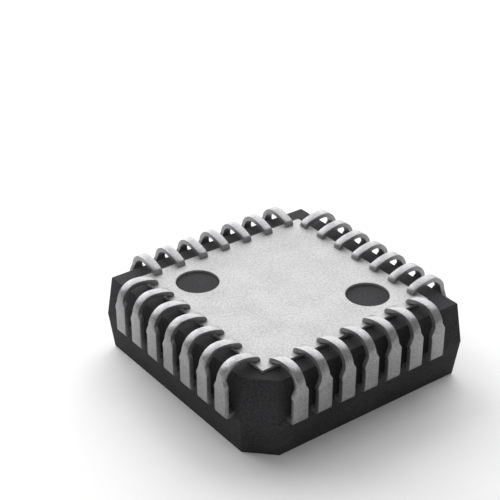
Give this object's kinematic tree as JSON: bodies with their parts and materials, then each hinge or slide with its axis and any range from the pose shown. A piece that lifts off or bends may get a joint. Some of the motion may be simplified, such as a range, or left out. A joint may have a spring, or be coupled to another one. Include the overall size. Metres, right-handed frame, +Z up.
{
  "type": "plcc chip",
  "caption": "Square surface-mount chip package with J-shaped leads on all four sides and a bare metal heat spreader plate, lying on its marking face with the leads up",
  "frame": {"origin": "middle of the marking face, on the surface that the chip lies on", "axes": "+Z up to the underside with the bare plate and the J bends of the leads; the chamfered corner is at -X -Y; the first lead is in the middle of the -Y side"},
  "size_m": [0.0124, 0.0124, 0.0044],
  "materials": {
    "moulding_compound": "dark grey filled epoxy, finely textured by the mould",
    "tin_plate": "matte tin plating on copper alloy",
    "nickel_plate": "pale satin plating on copper, fine speckle and light scuffs",
    "silicon": "polished silicon",
    "bond_adhesive": "silver-filled epoxy",
    "gold_wire": "drawn gold"
  },
  "bodies": {
    "root": {"moulded_body": "moulding_compound", "heat_spreader": "nickel_plate", "die": "silicon", "die_attach": "bond_adhesive", "bond_wires": "gold_wire", "lead_01": "tin_plate", "lead_02": "tin_plate", "lead_03": "tin_plate", "lead_04": "tin_plate", "lead_05": "tin_plate", "lead_06": "tin_plate", "lead_07": "tin_plate", "lead_08": "tin_plate", "lead_09": "tin_plate", "lead_10": "tin_plate", "lead_11": "tin_plate", "lead_12": "tin_plate", "lead_13": "tin_plate", "lead_14": "tin_plate", "lead_15": "tin_plate", "lead_16": "tin_plate", "lead_17": "tin_plate", "lead_18": "tin_plate", "lead_19": "tin_plate", "lead_20": "tin_plate", "lead_21": "tin_plate", "lead_22": "tin_plate", "lead_23": "tin_plate", "lead_24": "tin_plate", "lead_25": "tin_plate", "lead_26": "tin_plate", "lead_27": "tin_plate", "lead_28": "tin_plate"}
  },
  "joints": []
}
